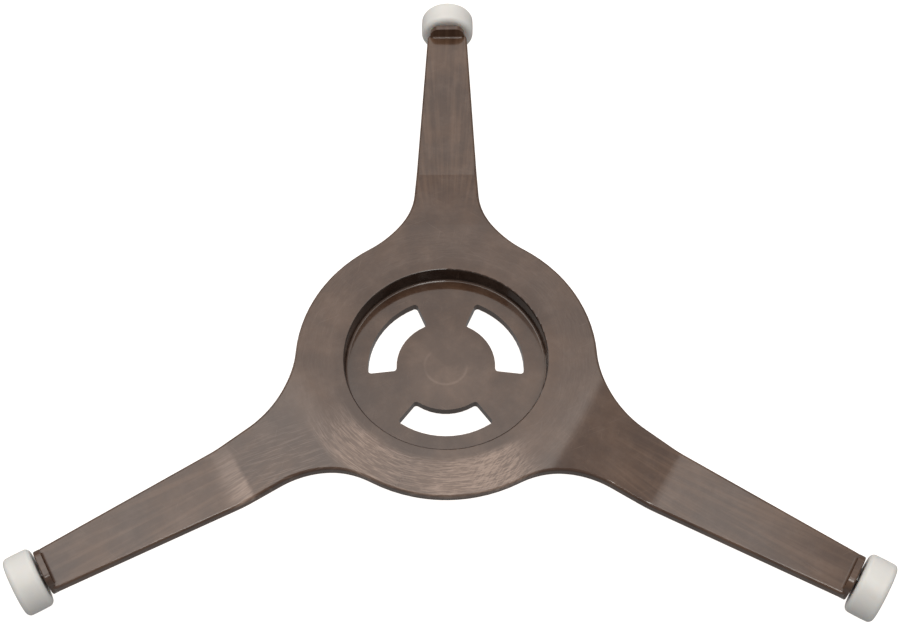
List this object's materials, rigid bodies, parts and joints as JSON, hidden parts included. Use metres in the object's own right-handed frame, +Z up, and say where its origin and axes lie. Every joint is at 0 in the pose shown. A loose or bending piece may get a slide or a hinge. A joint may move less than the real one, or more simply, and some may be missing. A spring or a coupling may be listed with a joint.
{
  "type": "roller support",
  "caption": "Turntable roller support for a microwave oven: a cranked spider with a round tray recess in its hub and a free-running roller on a snap pin at the end of each arm.",
  "frame": {"origin": "centre of the recess floor, on the axis of the hub", "axes": "+Z up out of the recess towards the tray, +Y along the rear arm, +X to its right seen from above"},
  "size_m": [0.2222, 0.1928, 0.016],
  "materials": {
    "smoke_plastic": "semi-gloss, smoke brown",
    "white_plastic": "satin, warm white"
  },
  "bodies": {
    "carrier": {"spider": "smoke_plastic"},
    "rear_wheel": {"roller_rear": "white_plastic"},
    "left_wheel": {"roller_left": "white_plastic"},
    "right_wheel": {"roller_right": "white_plastic"}
  },
  "joints": [
    {"name": "rear_spin", "type": "hinge", "parent": "carrier", "child": "rear_wheel", "pos_m": [0, 0.1207, -0.0028], "axis": [0, 1, 0], "continuous": true},
    {"name": "left_spin", "type": "hinge", "parent": "carrier", "child": "left_wheel", "pos_m": [-0.10453, -0.06035, -0.0028], "axis": [-0.866, -0.5, 0], "continuous": true},
    {"name": "right_spin", "type": "hinge", "parent": "carrier", "child": "right_wheel", "pos_m": [0.10453, -0.06035, -0.0028], "axis": [0.866, -0.5, 0], "continuous": true}
  ]
}
